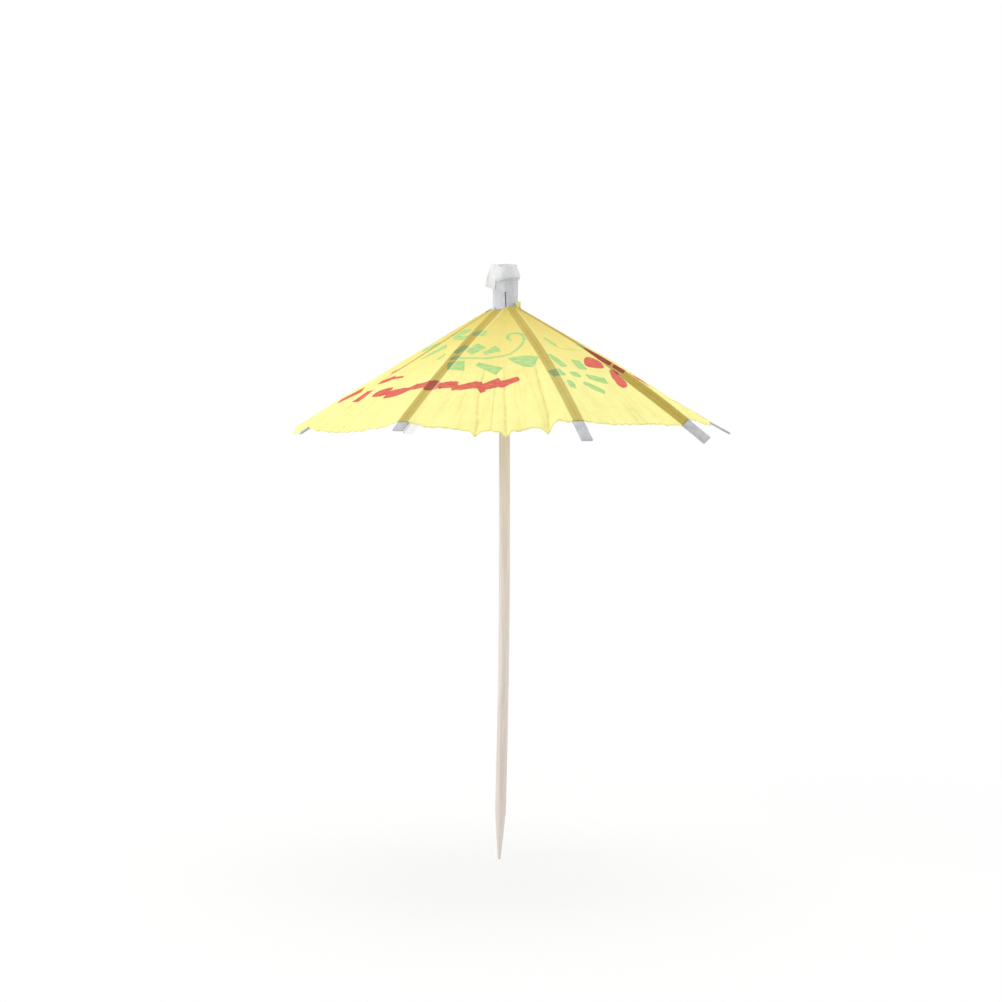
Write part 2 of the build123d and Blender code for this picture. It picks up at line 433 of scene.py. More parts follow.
# %% tissue material
def radial_place(tree, plan):
    """A place for noise that runs out from the hub in streaks: mostly its direction from there."""

    def vector(operation, output="Vector", **inputs):
        named = {int(name[1:]) if name[0] == "_" else name: value for name, value in inputs.items()}
        return place(tree, "ShaderNodeVectorMath", named, operation=operation).outputs[output]

    spread = vector("SCALE", _0=vector("NORMALIZE", _0=plan), Scale=45.0)
    outward = calculate(tree, "MULTIPLY", vector("LENGTH", "Value", _0=plan), 0.12)
    return vector("ADD", _0=spread, _1=place(tree, "ShaderNodeCombineXYZ", {"Z": outward}).outputs[0])


def tissue_material(name, ink_strength, band_strength):
    """Yellow tissue with its print, its olive bands over the ribs and its crinkles."""
    material, tree, shader = new_material(name, Roughness=0.75, Specular_IOR_Level=0.2)

    def stored(attribute):
        return place(tree, "ShaderNodeAttribute", attribute_name=attribute).outputs["Fac"]

    plan = place(tree, "ShaderNodeUVMap", uv_map="plan").outputs["UV"]
    fibre = group("Fibre", tree, {"Vector": plan, "Cloud Scale": 0.35, "Fleck Scale": 3.5})
    run = stored("run")
    # Deep yellow at the hub to pale at the rim: partly the paper's own colour, partly painted shade and
    # glow.
    body = mix(tree, ramp(tree, run, 0.02, 0.4), colour(234, 217, 120), colour(247, 236, 150))
    body = mix(tree, ramp(tree, run, 0.3, 0.75), body, colour(254, 251, 178))
    streak = clouds(tree, radial_place(tree, plan), 1.0, 3.0)
    body = mix(tree, ramp(tree, streak, 0.5, 0.75, 0.0, 0.4), body, colour(243, 229, 142))
    body = mix(tree, ramp(tree, fibre["Cloud"], 0.4, 0.75, 0.0, 0.25), body, colour(243, 228, 140))
    # Painted shade along the creases, in a golden brown.
    body = mix(tree, calculate(tree, "MULTIPLY", stored("fold"), 0.6), body, colour(224, 188, 84))
    printed = 0.0
    for attribute, full, thin in (
        ("leaf", colour(172, 216, 138), colour(206, 236, 166)),
        ("blossom", colour(216, 84, 78), colour(241, 128, 116)),
    ):
        ink = group("Block print ink", tree, {"Vector": plan, "Distance": stored(attribute)})
        tint = mix(tree, ink["Density"], thin, full)
        body = mix(tree, calculate(tree, "MULTIPLY", ink["Mask"], ink_strength), body, tint)
        printed = calculate(tree, "MAXIMUM", ink["Mask"], printed)
    # The olive band over each rib: the card's grey showing through, with painted shade, darker where there
    # is ink.
    band = ramp(tree, stored("rib_edge"), -0.08, 0.06, band_strength, 0.0)
    shadow = mix(tree, printed, colour(200, 177, 98), colour(172, 160, 160))
    body = mix(tree, calculate(tree, "MULTIPLY", band, stored("shade")), body, shadow, "MULTIPLY")
    # Painted highlight beside the rib.
    crest = calculate(tree, "MULTIPLY", stored("crest"), band_strength)
    body = mix(tree, crest, body, colour(255, 250, 190))
    speck = ramp(tree, clouds(tree, plan, 2.2, 1.0), 0.76, 0.82, 0.0, 0.5)
    tree.links.new(mix(tree, speck, body, colour(140, 122, 70)), shader.inputs["Base Color"])
    crinkle = place(
        tree, "ShaderNodeTexVoronoi", {"Vector": plan, "Scale": 0.55}, feature="DISTANCE_TO_EDGE"
    ).outputs["Distance"]
    grain = calculate(tree, "ADD", streak, fibre["Cloud"])
    height = calculate(tree, "ADD", ramp(tree, crinkle, 0.0, 0.25), grain)
    bump = place(tree, "ShaderNodeBump", {"Strength": 0.35, "Distance": 0.00012, "Height": height})
    tree.links.new(bump.outputs[0], shader.inputs["Normal"])
    glow = place(tree, "ShaderNodeBsdfTranslucent", {"Color": body, "Normal": bump.outputs[0]})
    sheet = place(tree, "ShaderNodeMixShader", {0: 0.25, 1: shader.outputs[0], 2: glow.outputs[0]})
    tree.links.new(sheet.outputs[0], tree.nodes["Material Output"].inputs["Surface"])
    return material


tissue = tissue_material("tissue", 0.95, 1.0)
tissue_underside = tissue_material("tissue_underside", 0.6, 0.0)
print("tissue finishes:", tissue.name, tissue_underside.name)

# %% [markdown]
# ## The wooden pick
# A turned stick is a profile spun about its axis. The profile is read from the frame: the blunt tip, the
# shoulder where the point meets the shank, and the top. Extra rings along the point let a little noise
# flatten it here and there, as a hand-held sander does. Rings along the shank let it bow by a third of a
# millimetre, because thin sticks never dry quite straight.

# %% wooden pick
pick_low, pick_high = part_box("pick")
pick_radius = pick_high.x
tip_radius = 0.24 * pick_radius
tip_round = 0.5 * tip_radius
point_swell, whittling, whittle_scale = 0.06, 0.05, 700
top_chamfer = 0.12 * MM
point_rings, shank_rings, pick_sides = 14, 24, 40
pick_bow, bow_top = 0.36 * MM, 66 * MM


def pick_profile():
    """Radius and height along the pick, from the middle of its tip to the middle of its top."""
    points = [(0.0, pick_low.z), (tip_radius - tip_round, pick_low.z)]
    for ring in range(point_rings + 1):
        share = ring / point_rings
        swell = point_swell * sin(pi * share)
        radius = tip_radius + (pick_radius - tip_radius) * (share + swell)
        points.append((radius, pick_low.z * (1 - share) + tip_round * (1 - share)))
    points += [(pick_radius, pick_high.z * ring / shank_rings) for ring in range(1, shank_rings)]
    points += [(pick_radius, pick_high.z - top_chamfer), (pick_radius - top_chamfer, pick_high.z)]
    return points + [(0.0, pick_high.z)]


bm = bmesh.new()
line = [bm.verts.new((radius, 0, height)) for radius, height in pick_profile()]
edges = [bm.edges.new(pair) for pair in zip(line, line[1:])]
bmesh.ops.spin(
    bm, geom=line + edges, cent=(0, 0, 0), axis=UP, angle=tau, steps=pick_sides,
    use_merge=True, use_duplicate=False,
)
clean(bm)
for vertex in bm.verts:
    if pick_low.z < vertex.co.z < 0:
        vertex.co.xy *= 1 + whittling * noise.noise(vertex.co * whittle_scale)
    bowed = min(1.0, max(0.0, (bow_top - vertex.co.z) / (bow_top - pick_low.z)))
    vertex.co.x += pick_bow * sin(pi * bowed)
wooden_pick = finish_piece(bm, "wooden_pick", pale_wood)
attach(wooden_pick, "pick")
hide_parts("pick")
print("wooden pick:", len(wooden_pick.data.polygons), "faces")

# %% [markdown]
# ## A bent strip of card
# Ribs and struts are flat strips with one bend. A strip starts as a single rectangle, the cut end. Runs
# extrude it forward and a turn spins it about an axis across the strip, which is how a press bends card.
# Every step leaves its last cut inside the strip, so those faces are taken out. The long corners are then
# rounded a little, because a punched edge is never razor sharp.

# %% bent strips
corner_round = 0.04 * MM
bend_steps = 10


class Strip:
    """A card strip drawn out of its cut end, with runs and turns."""

    def __init__(self, start, heading, across, width, thickness):
        self.bm = bmesh.new()
        self.heading = heading.normalized()
        self.across = across.normalized()
        bmesh.ops.create_grid(self.bm, x_segments=1, y_segments=1, size=0.5)
        face_up = self.heading.cross(self.across)
        axes = Matrix((self.across * width, face_up * thickness, self.heading)).transposed()
        bmesh.ops.transform(self.bm, matrix=Matrix.Translation(start) @ axes.to_4x4(), verts=self.bm.verts)
        self.end = self.bm.faces[:]
        self.place = start.copy()

    def run(self, length, steps):
        """Straight on for a length."""
        step = self.heading * (length / steps)
        for _ in range(steps):
            made = bmesh.ops.extrude_face_region(self.bm, geom=self.end)["geom"]
            self.end = only(bmesh.types.BMFace, made)
            bmesh.ops.translate(self.bm, verts=only(bmesh.types.BMVert, made), vec=step)
        self.place += self.heading * length

    def turn(self, radius, angle, steps):
        """A bend about an axis across the strip. A positive angle turns up from the strip's face."""
        face_up = self.heading.cross(self.across)
        toward = face_up if angle > 0 else -face_up
        centre = self.place + toward * radius
        turning = Matrix.Rotation(-angle, 3, self.across)
        made = bmesh.ops.spin(
            self.bm, geom=self.end, cent=centre, axis=self.across, angle=-angle, steps=steps,
            use_merge=False, use_duplicate=False,
        )["geom_last"]
        self.end = only(bmesh.types.BMFace, made)
        self.place = centre + turning @ (self.place - centre)
        self.heading = turning @ self.heading

    def soften(self, keep=None):
        """Takes out the cuts left inside, then rounds the corners, except at edges that keep picks."""
        inside = [f for f in self.bm.faces if all(len(e.link_faces) > 2 for e in f.edges)]
        bmesh.ops.delete(self.bm, geom=inside, context="FACES_ONLY")
        clean(self.bm)
        edges = [e for e in crisp_edges(self.bm, 60) if keep is None or not keep(e)]
        round_edges(self.bm, edges, corner_round)
        return self.bm


# %% [markdown]
# ## How each rib really lies
# The frame's ribs are straight and alike. On a hand-made umbrella no two are: card bows when the paper
# pulls on it, some ribs droop past their struts, a few are swept sideways or twisted, and their lengths
# differ by a millimetre or two. The paper stops short of each rib's end by its own amount too, and the
# painted shade over each rib has its own strength. Each rib therefore has its own small way of lying, in
# millimetres, with the twist in degrees. One function bends a place on the straight rib to where it really
# is, and the card, the strut's tab and the paper all use it, so they stay together. For most of the ribs
# that show, bow, rise, reach and sweep were fitted to points read off the photo. The results were rounded,
# and some were changed.

# %% the way of each rib
# shade is how strong the painted shade over the rib is.
RibWay = namedtuple("RibWay", "bow rise reach sweep twist short shade")
rib_ways = {
    1: RibWay(bow=0.6, rise=1.7, reach=1.4, sweep=-3.0, twist=13, short=0.0, shade=0.7),
    2: RibWay(bow=0.6, rise=2.2, reach=-2.0, sweep=0.0, twist=0, short=-0.3, shade=0.7),
    3: RibWay(bow=0.5, rise=0.2, reach=0.6, sweep=5.6, twist=0, short=-0.3, shade=0.7),
    4: RibWay(bow=0.8, rise=1.3, reach=-0.6, sweep=0.0, twist=0, short=-0.3, shade=0.7),
    5: RibWay(bow=-0.7, rise=-1.2, reach=-2.0, sweep=2.5, twist=7, short=0.3, shade=0.6),
    6: RibWay(bow=0.8, rise=0.3, reach=-1.2, sweep=0.0, twist=0, short=0.0, shade=0.75),
    7: RibWay(bow=1.1, rise=0.0, reach=0.4, sweep=0.0, twist=0, short=1.1, shade=0.66),
    8: RibWay(bow=0.75, rise=-0.7, reach=-0.5, sweep=-2.8, twist=42, short=2.0, shade=0.85),
}
strut_share = span("strut_tab_1", first.crease, first.along)[1] / rib_length
twisted_from, bowed_to = 0.65, 1.2


def rib_lift(index, along):
    """How far a rib stands above its straight line: its bow, and its rise or droop past the strut."""
    way = rib_ways[index]
    share = max(0.0, along / rib_length)
    past_strut = max(0.0, share - strut_share) / (1 - strut_share)
    return (way.bow * sin(pi * min(share, bowed_to)) + way.rise * past_strut**2) * MM


def bent_place(rib, along, across=0.0, up=0.0):
    """A place measured from the crease, on the rib as it really lies."""
    way = rib_ways[rib.index]
    share = max(0.0, along / rib_length)
    twist = radians(way.twist) * smoothstep(strut_share, twisted_from, share)
    turned_across = across * cos(twist) - up * sin(twist) + way.sweep * share * MM
    turned_up = across * sin(twist) + up * cos(twist) + rib_lift(rib.index, along)
    return rib.point(along, turned_across, turned_up)


print("bow of the ribs in mm:", [way.bow for way in rib_ways.values()])

# %% [markdown]
# ## Ribs
# A rib is one tine of the collar's comb. It leaves the slit collar flat against it, bends out and runs
# under the paper to its cut end. The slits are hairlines, except one that gapes at the front. Past its
# bend the tine is narrow for a few millimetres, so that the closed ribs find room round the pick. Its
# widths are measured on the frame's rib. Above the bends the collar is rolled a little tighter than the
# frame has it, so one function moves everything up there.

# %% widths of a tine
bend_radius = 1.0 * MM
bend_reach = bend_radius * tan((pi / 2 - slope) / 2)
collar_low, collar_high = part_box("collar")
slit_height = 2.6 * MM
slit_top = collar_low.z + slit_height
collar_apothem = Vector(first.crease.xy).length + card / 2
facet = 2 * collar_apothem * tan(half_pitch)
hairline, gaping_slit = 0.05 * MM, 0.64 * MM
gaping_sides = {(7, -1)}
slimming, slimmed_by, collar_shift = 0.06, 2 * MM, 0.12 * MM
widening_start, widening_end = -0.7 * MM, 0.4 * MM
root_tolerance = 0.02 * MM
rib_places = [vertex.co - first.crease for vertex in nodes["rib_1"].data.vertices]
root_half = max(abs(p.dot(first.across)) for p in rib_places if p.dot(first.along) < root_tolerance)
full_width_at = min(p.dot(first.along) for p in rib_places if abs(p.dot(first.across)) > 0.499 * rib_width)


def rib_half_width(along):
    """Half the width of a rib at a distance from its crease."""
    return root_half + (rib_width / 2 - root_half) * min(1.0, max(0.0, along / full_width_at))


def tine_half_width(rib, side, spot):
    """Half the width of a tine on one side: its facet in the collar, then the rib past the bend."""
    offset = spot - rib.crease
    slit = gaping_slit if (rib.index, side) in gaping_sides else hairline
    path = offset.dot(rib.radial) - max(0.0, offset.z)
    in_rib = smoothstep(widening_start, widening_end, path)
    return (facet - slit) / 2 * (1 - in_rib) + rib_half_width(offset.dot(rib.along)) * in_rib


def slimmed(spot):
    """Where the collar really is: rolled a little tighter above the bends, and off to the left."""
    share = smoothstep(first.crease.z, first.crease.z + slimmed_by, spot.z)
    slimmer = 1 - slimming * share
    return Vector((spot.x * slimmer - collar_shift * share, spot.y * slimmer, spot.z))


print(f"tine: {facet / MM:.2f} mm in the collar, {2 * root_half / MM:.2f} mm at the bend")

# %% [markdown]
# The strip is drawn straight, then its width and its lie are set. Faces in the collar get the paler collar
# card, and undersides get the near-white card; both are painted light.

# %% ribs
collar_steps, rib_steps = 4, 34
underside = -0.6


def make_rib(rib):
    """One tine, from the top of its slit to its cut end."""
    top = Vector((rib.crease.x, rib.crease.y, slit_top))
    strip = Strip(top, -UP, rib.across, rib_width, card)
    strip.run(slit_top - rib.crease.z - bend_reach, collar_steps)
    strip.turn(bend_radius, pi / 2 - slope, bend_steps)
    strip.run(rib_length - bend_reach + rib_ways[rib.index].reach * MM, rib_steps)
    bm = strip.soften(lambda e: all(v.co.z > slit_top - card / 2 for v in e.verts))
    for vertex in bm.verts:
        offset = vertex.co - rib.crease
        across = offset.dot(rib.across)
        width = tine_half_width(rib, 1 if across > 0 else -1, vertex.co)
        across *= width / (rib_width / 2)
        vertex.co = bent_place(rib, offset.dot(rib.along), across, offset.dot(rib.up))
        if vertex.co.z > rib.crease.z:
            vertex.co = slimmed(vertex.co)
    bm.normal_update()
    for face in bm.faces:
        if face.calc_center_median().z > rib.crease.z - card:
            # Faces in the collar take the paler collar card: painted light.
            face.material_index = 1
        elif face.normal.dot(rib.up) < underside:
            # Undersides take the near-white card: painted light.
            face.material_index = 2
    piece = finish_piece(bm, f"rib_strip_{rib.index}", rib_card, lit_collar_card, painted_light_underside_card)
    reach = 1.25 * MM
    rib.point(reach)
    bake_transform(piece)
    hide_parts(f"rib_{rib.index}")
    return piece


rib_pieces = [make_rib(rib) for rib in ribs.values()]
print("ribs:", len(rib_pieces), "strips of", len(rib_pieces[0].data.polygons), "faces")

# %% [markdown]
# ## Struts
# A strut is a tine of the runner's comb. Its end is glued flat under the rib and folded back on itself, so
# tab and strut are one strip with one sharp fold. Near the rib the strip moves with the rib's bend, less and
# less towards the runner.

# %% struts
strut_width = 2 * span("strut_tab_1", first.crease, first.across)[1]
tab_low, tab_high = span("strut_tab_1", first.crease, first.up)
strut_thickness = tab_high - tab_low
tab_start = span("strut_tab_1", first.crease, first.along)[0]
fold_radius = 0.26 * MM
tab_steps, strut_steps = 4, 12
runner_crease_z = joints["runner_crease"]["pos_m"][2]


def make_strut(rib):
    """Tab, fold and strut of one tine of the runner."""
    pivot = Vector(joints[f"strut_{rib.index}_swing"]["pos_m"])
    foot = Vector((rib.crease.x, rib.crease.y, runner_crease_z))
    down = (foot - pivot).normalized()
    level = (tab_low + tab_high) / 2
    pivot_level = (pivot - rib.crease).dot(rib.up)
    corner = pivot + down * ((level - pivot_level) / down.dot(rib.up))
    turn = acos(rib.along.dot(down))
    reach = fold_radius * tan(turn / 2)
    strip = Strip(rib.point(tab_start, 0, level), rib.along, rib.across, strut_width, strut_thickness)
    strip.run((corner - rib.crease).dot(rib.along) - tab_start - reach, tab_steps)
    strip.turn(fold_radius, -turn, bend_steps)
    strip.run((foot - corner).length - reach, strut_steps)
    bm = strip.soften()
    held_at = (pivot - rib.crease).dot(rib.along)
    for vertex in bm.verts:
        along = min(held_at, max(tab_start, (vertex.co - rib.crease).dot(rib.along)))
        shift = bent_place(rib, along) - rib.point(along)
        vertex.co += shift * min(1.0, (foot - vertex.co).dot(down) / (foot - pivot).dot(down))
    piece = finish_piece(bm, f"strut_strip_{rib.index}", rib_card)
    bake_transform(piece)
    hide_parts(f"strut_{rib.index}", f"strut_tab_{rib.index}")
    return piece


strut_pieces = [make_strut(rib) for rib in ribs.values()]
print("struts:", len(strut_pieces), "strips of", len(strut_pieces[0].data.polygons), "faces")

# %% [markdown]
# ## The collar
# Above its slits the upper comb is a closed tube. Card rolled round a thin pick breaks along its slits, so
# the tube has one flat for each tine instead of being round. A circle of eight edges is drawn up into a
# wall, and the wall gets its thickness. The corners are then rounded as creased card is.

# %% collar
collar_lean, collar_drop = 0.34 * MM, 0.2 * MM
crease_round = 0.1 * MM


def comb_wall(bottom, top):
    """Eight-sided card tube whose flats line up with the ribs."""
    bm = bmesh.new()
    turned = Matrix.Rotation(atan2(first.crease.y, first.crease.x) + half_pitch, 4, "Z")
    placed = Matrix.Translation(UP * bottom) @ turned
    bmesh.ops.create_circle(bm, segments=rib_count, radius=collar_apothem / cos(half_pitch), matrix=placed)
    made = bmesh.ops.extrude_edge_only(bm, edges=bm.edges[:])["geom"]
    bmesh.ops.translate(bm, verts=only(bmesh.types.BMVert, made), vec=UP * (top - bottom))
    bmesh.ops.recalc_face_normals(bm, faces=bm.faces)
    bmesh.ops.solidify(bm, geom=bm.faces[:], thickness=card)
    return bm


bm = comb_wall(slit_top, collar_high.z)
corners = [e for e in bm.edges if abs(e.verts[0].co.z - e.verts[1].co.z) > card]
round_edges(bm, corners, crease_round, 3)
top_rim = [e for e in crisp_edges(bm, 60) if min(v.co.z for v in e.verts) > collar_high.z - card / 2]
round_edges(bm, top_rim, corner_round)
for vertex in bm.verts:
    if vertex.co.z > slit_top + card:
        vertex.co.z += collar_lean * vertex.co.x / collar_apothem - collar_drop
    vertex.co = slimmed(vertex.co)
collar_tube = finish_piece(bm, "collar_tube", lit_collar_card)
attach(collar_tube, "pick")
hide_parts("collar")
print("collar:", [round(size / MM, 2) for size in collar_tube.dimensions], "mm")

# %% [markdown]
# ## The film
# The tape round the collar is a flat scrap wound once, standing above the pick, with its last few
# millimetres loose and cut askew. A grid is the scrap laid flat. Each of its points is then wound round the
# collar, and after the turn it goes straight on as the loose flag. The free part bulges on the right, closes
# in towards its mouth, and stands lower in front than behind. One turn is enough: with more layers the
# renderer would have to look through too many clear surfaces, and the film would turn dark.

# %% shape of the film
film_low, film_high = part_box("film_sleeve")
film_slack = 0.02 * MM
film_inner = collar_apothem / cos(half_pitch) + film_slack
flag_azimuth, flag_curl = radians(227), 0.15
flag_top, flag_bottom, flag_lift = 1.45 * MM, 2.5 * MM, 0.85 * MM
front_dip, mouth_taper, mouth_shift = 0.7 * MM, 0.45 * MM, 0.2 * MM
side_bulge, fold_depth, film_thickness = 0.32 * MM, 0.08 * MM, 0.03 * MM
stuck_haze, free_haze, flag_haze, clearer_behind = 0.06, 0.85, 0.9, 0.6
wound_columns, flag_columns, film_rows = 72, 16, 30
stuck_share = (collar_high.z - collar_drop - film_low.z) / (film_high.z - film_low.z)
free_from, free_to = stuck_share - 0.14, stuck_share + 0.05


def film_point(column, row):
    """Place and haze of one point, by its column along the winding and its row up the collar."""
    rise = row / film_rows
    wound = min(1.0, column / wound_columns)
    loose = max(0, column - wound_columns) / flag_columns
    azimuth = flag_azimuth + tau * (1 - wound)
    outward = Vector((cos(azimuth), sin(azimuth), 0))
    forward = Vector((sin(azimuth), -cos(azimuth), 0))
    lean = collar_lean * outward.x / (film_high.z - film_low.z)
    free = smoothstep(free_from, free_to, rise - lean)
    closing = smoothstep(stuck_share, 1.0, rise)
    folds = noise.noise(outward * 1.3 + UP * 3 * rise + forward * 2 * loose)
    bulge = max(0.0, outward.x) ** 2 * smoothstep(0.2, 0.5, rise) * (1 - smoothstep(0.6, 0.95, rise))
    radius = film_inner + side_bulge * bulge - mouth_taper * closing + free * fold_depth * folds
    height = film_low.z + (film_high.z - film_low.z) * rise
    height -= front_dip * (0.5 - 0.5 * outward.y) * smoothstep(0.6, 1.0, rise) * (1 - loose)
    height += flag_lift * loose * (1 - rise)
    tail = (flag_bottom + (flag_top - flag_bottom) * rise) * loose
    curl = flag_curl * tail * loose + 2 * fold_depth * folds * loose
    haze = stuck_haze + (free_haze * (1 - clearer_behind * max(0.0, outward.y)) - stuck_haze) * free
    haze = max(haze, flag_haze * smoothstep(0, 0.15, loose))
    haze *= max(smoothstep(0, 0.2, rise), smoothstep(0, 0.2, loose))
    spot = slimmed(outward * (radius + curl) + forward * tail + UP * height)
    return spot + Vector((mouth_shift * closing * (1 - loose), 0, 0)), haze


print(f"film: {(film_high.z - film_low.z) / MM:.1f} mm tall, {stuck_share:.0%} of it on the card")

# %% [markdown]
# With the shape settled, every vertex of the grid is sent to its place, and its haze is stored with it. A
# Solidify modifier gives the film its thickness.

# %% film
bm = bmesh.new()
columns = wound_columns + flag_columns
haze_layer = bm.verts.layers.float.new("haze")
bmesh.ops.create_grid(bm, x_segments=columns, y_segments=film_rows, size=1)
for vertex in bm.verts:
    column = round((vertex.co.x + 1) / 2 * columns)
    row = round((vertex.co.y + 1) / 2 * film_rows)
    vertex.co, vertex[haze_layer] = film_point(column, row)
film_wrap = finish_piece(bm, "film_wrap", milky_film, sharp_angle=180)
skin = film_wrap.modifiers.new("film thickness", "SOLIDIFY")
skin.thickness = film_thickness
skin.offset = 0
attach(film_wrap, "pick")
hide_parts("film_sleeve")
print("film:", len(film_wrap.data.polygons), "faces")

# %% [markdown]
# ## Runner, packing and ring
# The runner and the two rolls of newsprint already have their true shapes in the frame, so they keep them
# and only get a finish. The ring is a slice of tube: a rounded section spun about the pick, with a little
# play because the pick isn't quite straight.

# %% runner, packing and ring
for node, finish in (("runner", rib_card), ("runner_packing", newsprint), ("collar_packing", newsprint)):
    nodes[node].data.materials.clear()
    nodes[node].data.materials.append(finish)

ring_low, ring_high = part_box("retaining_ring")
ring_play, ring_round, ring_sides = 0.17 * MM, 0.3, 48
ring_inner = pick_radius + ring_play
ring_middle = (ring_inner + ring_high.x) / 2
ring_wall = ring_high.x - ring_inner
bm = bmesh.new()
bmesh.ops.create_grid(bm, x_segments=1, y_segments=1, size=0.5)
bmesh.ops.scale(bm, verts=bm.verts, vec=(ring_wall, ring_high.z - ring_low.z, 1))
bmesh.ops.bevel(
    bm, geom=bm.verts[:], offset=ring_round * ring_wall, segments=5, profile=0.5, affect="VERTICES",
    material=-1,
)
bmesh.ops.delete(bm, geom=bm.faces[:], context="FACES_ONLY")
bmesh.ops.rotate(bm, verts=bm.verts, matrix=Matrix.Rotation(pi / 2, 3, "X"))
bmesh.ops.translate(bm, verts=bm.verts, vec=(ring_middle, 0, (ring_low.z + ring_high.z) / 2))
bmesh.ops.spin(
    bm, geom=bm.verts[:] + bm.edges[:], cent=(0, 0, 0), axis=UP, angle=tau, steps=ring_sides,
    use_merge=True, use_duplicate=False,
)
clean(bm)
stop_ring = finish_piece(bm, "stop_ring", ring_plastic)
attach(stop_ring, "retainer")
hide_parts("retaining_ring")
print("ring:", [round(size / MM, 2) for size in stop_ring.dimensions], "mm")

# %% [markdown]
# ## The print, as dabs
# A printer's block of this kind holds a sprig: a curling vine, leaves dabbed beside it, a garland of
# slanting dabs and a few blossoms. A dab is blunt at both ends. It goes from a start to an end, each written
# as a radius in millimetres and an angle in degrees from the front, and it has half a width at each of them
# and a bulge between. The vines are thin lines through a few points. The block is used twice, on opposite
# sides. The marks were picked by eye on the photo, and a scratch script turned them into radius, angle and
# width on the canopy. The results were rounded, and many were moved.

# %% dabs of the print
Dab = namedtuple("Dab", "start end start_half end_half bulge")
leaf_dabs = [
    Dab((9.7, -56), (9.6, -33), 0.2, 0.4, 0.4),
    Dab((10, -74), (10, -52), 0.1, 0.25, 0.1),
    Dab((10.6, -51), (11.3, -39), 0.3, 0.5, 0.1),
    Dab((11.2, -40), (12.5, -27), 0.4, 0.5, 0.1),
    Dab((11.3, -25), (11, -13), 0.5, 0.8, 0.2),
    Dab((14.3, -78), (12.2, -69), 0.5, 0.8, 0.2),
    Dab((17, -53), (13.4, -43), 0.1, 0.9, 0.2),
    Dab((17.4, -36), (16.4, -33), 0.6, 0.6, 0.0),
    Dab((17.3, -24.5), (15.2, -20), 0.75, 0.85, 0.0),
    Dab((17, -16.5), (14.5, -11.5), 0.7, 0.9, 0.0),
    Dab((16.6, -8.5), (14.8, -1), 0.4, 0.85, 0.0),
    Dab((18.9, -24), (18.7, -19), 0.5, 0.5, 0.0),
    Dab((21.3, -22), (20.4, -15), 1.1, 1.4, 0.0),
    Dab((19.3, -10), (21, 1), 0.5, 1.1, 0.0),
    Dab((17.6, 5), (19.8, 17.5), 0.1, 1.3, 0.5),
    Dab((12.2, 33), (14.7, 37), 0.15, 0.2, 0.25),
    Dab((17.7, 26), (20.9, 30), 0.4, 0.6, 0.2),
    Dab((23.4, 21), (22.6, 27), 0.8, 0.9, 0.0),
    Dab((18.5, 39.5), (21, 39), 0.8, 0.9, 0.0),
    Dab((22.8, 30), (22.8, 34), 0.5, 0.6, 0.1),
    Dab((23, 37), (24, 45), 0.6, 0.8, 0.1),
    Dab((24.7, 27.5), (26.6, 27), 0.5, 0.5, 0.1),
    Dab((24.7, 33), (26.8, 39), 0.5, 0.6, 0.1),
    Dab((14, 60), (15, 66), 0.2, 0.6, 0.2),
]
blossom_dabs = [
    Dab((26.5, -51), (25.5, -43), 0.4, 0.9, 0.4),
    Dab((26.5, -43), (26, -33), 0.9, 0.5, 0.4),
    Dab((26, -33.5), (25.3, -30), 0.45, 0.7, 0.0),
    Dab((25.6, -30.5), (26.1, -24), 0.7, 0.9, 0.0),
    Dab((26.3, -25), (26.8, -19.5), 0.7, 0.7, 0.7),
    Dab((26.6, -20), (25.3, -15), 0.7, 0.8, 0.0),
    Dab((24.7, -15.5), (26.6, -13.5), 0.6, 0.6, 0.0),
    Dab((26, -13), (24.5, -6.5), 0.6, 0.8, 0.0),
    Dab((24, -7), (26.1, -4), 0.7, 0.5, 0.0),
    Dab((25, -4.5), (23.7, 2), 0.7, 1.1, 0.0),
    Dab((24.4, 1), (23, 9), 0.8, 0.5, 0.0),
    Dab((23.4, -62), (22, -53), 0.6, 0.7, 0.1),
    Dab((22.2, -53), (21.8, -46), 0.4, 0.25, 0.0),
    Dab((28.4, -58), (25.4, -59), 1.4, 1.3, 0.0),
    Dab((28.5, -78), (25, -73), 1.0, 1.2, 0.0),
    Dab((20.5, -72), (18, -66), 0.2, 0.3, 0.1),
    Dab((20, 43), (18.6, 61), 0.3, 0.3, 1.25),
    Dab((21, 66), (25.2, 50), 0.4, 0.4, 1.2),
    Dab((14.8, 66), (19.6, 69), 0.5, 0.9, 0.2),
    Dab((20, 68.5), (22, 69.5), 0.6, 0.7, 0.0),
    Dab((22.5, 76), (24.8, 72.5), 1.3, 1.4, 0.0),
]
vines = [
    ([(18.7, -19), (18, -13), (17.6, -6), (17, 0), (16.6, 5), (15.7, 9), (14.6, 13), (13.2, 16.5)], 0.2),
    ([(13.2, 16.5), (11.7, 16.5), (10.9, 13), (11, 7), (12.1, 5), (12.6, 7)], 0.24),
    ([(14.7, 37), (15.4, 41), (15.6, 55)], 0.13),
]
print("print:", len(leaf_dabs), "leaf dabs,", len(blossom_dabs), "blossom dabs,", len(vines), "vines")

# %% [markdown]
# ## Distances to the print
# A signed distance is negative inside a dab, zero on its edge and positive outside. The nearest of all the
# dabs counts, so their distances are joined by taking the least. Whole arrays of places are measured at
# once, because the canopy has many vertices.

# %% distances to the print
samples_per_span = 6
far_away = 9.0


def plan_place(radius, angle):
    """Place on the plan, seen from above, in millimetres."""
    return np.array((radius * sin(radians(angle)), -radius * cos(radians(angle))))


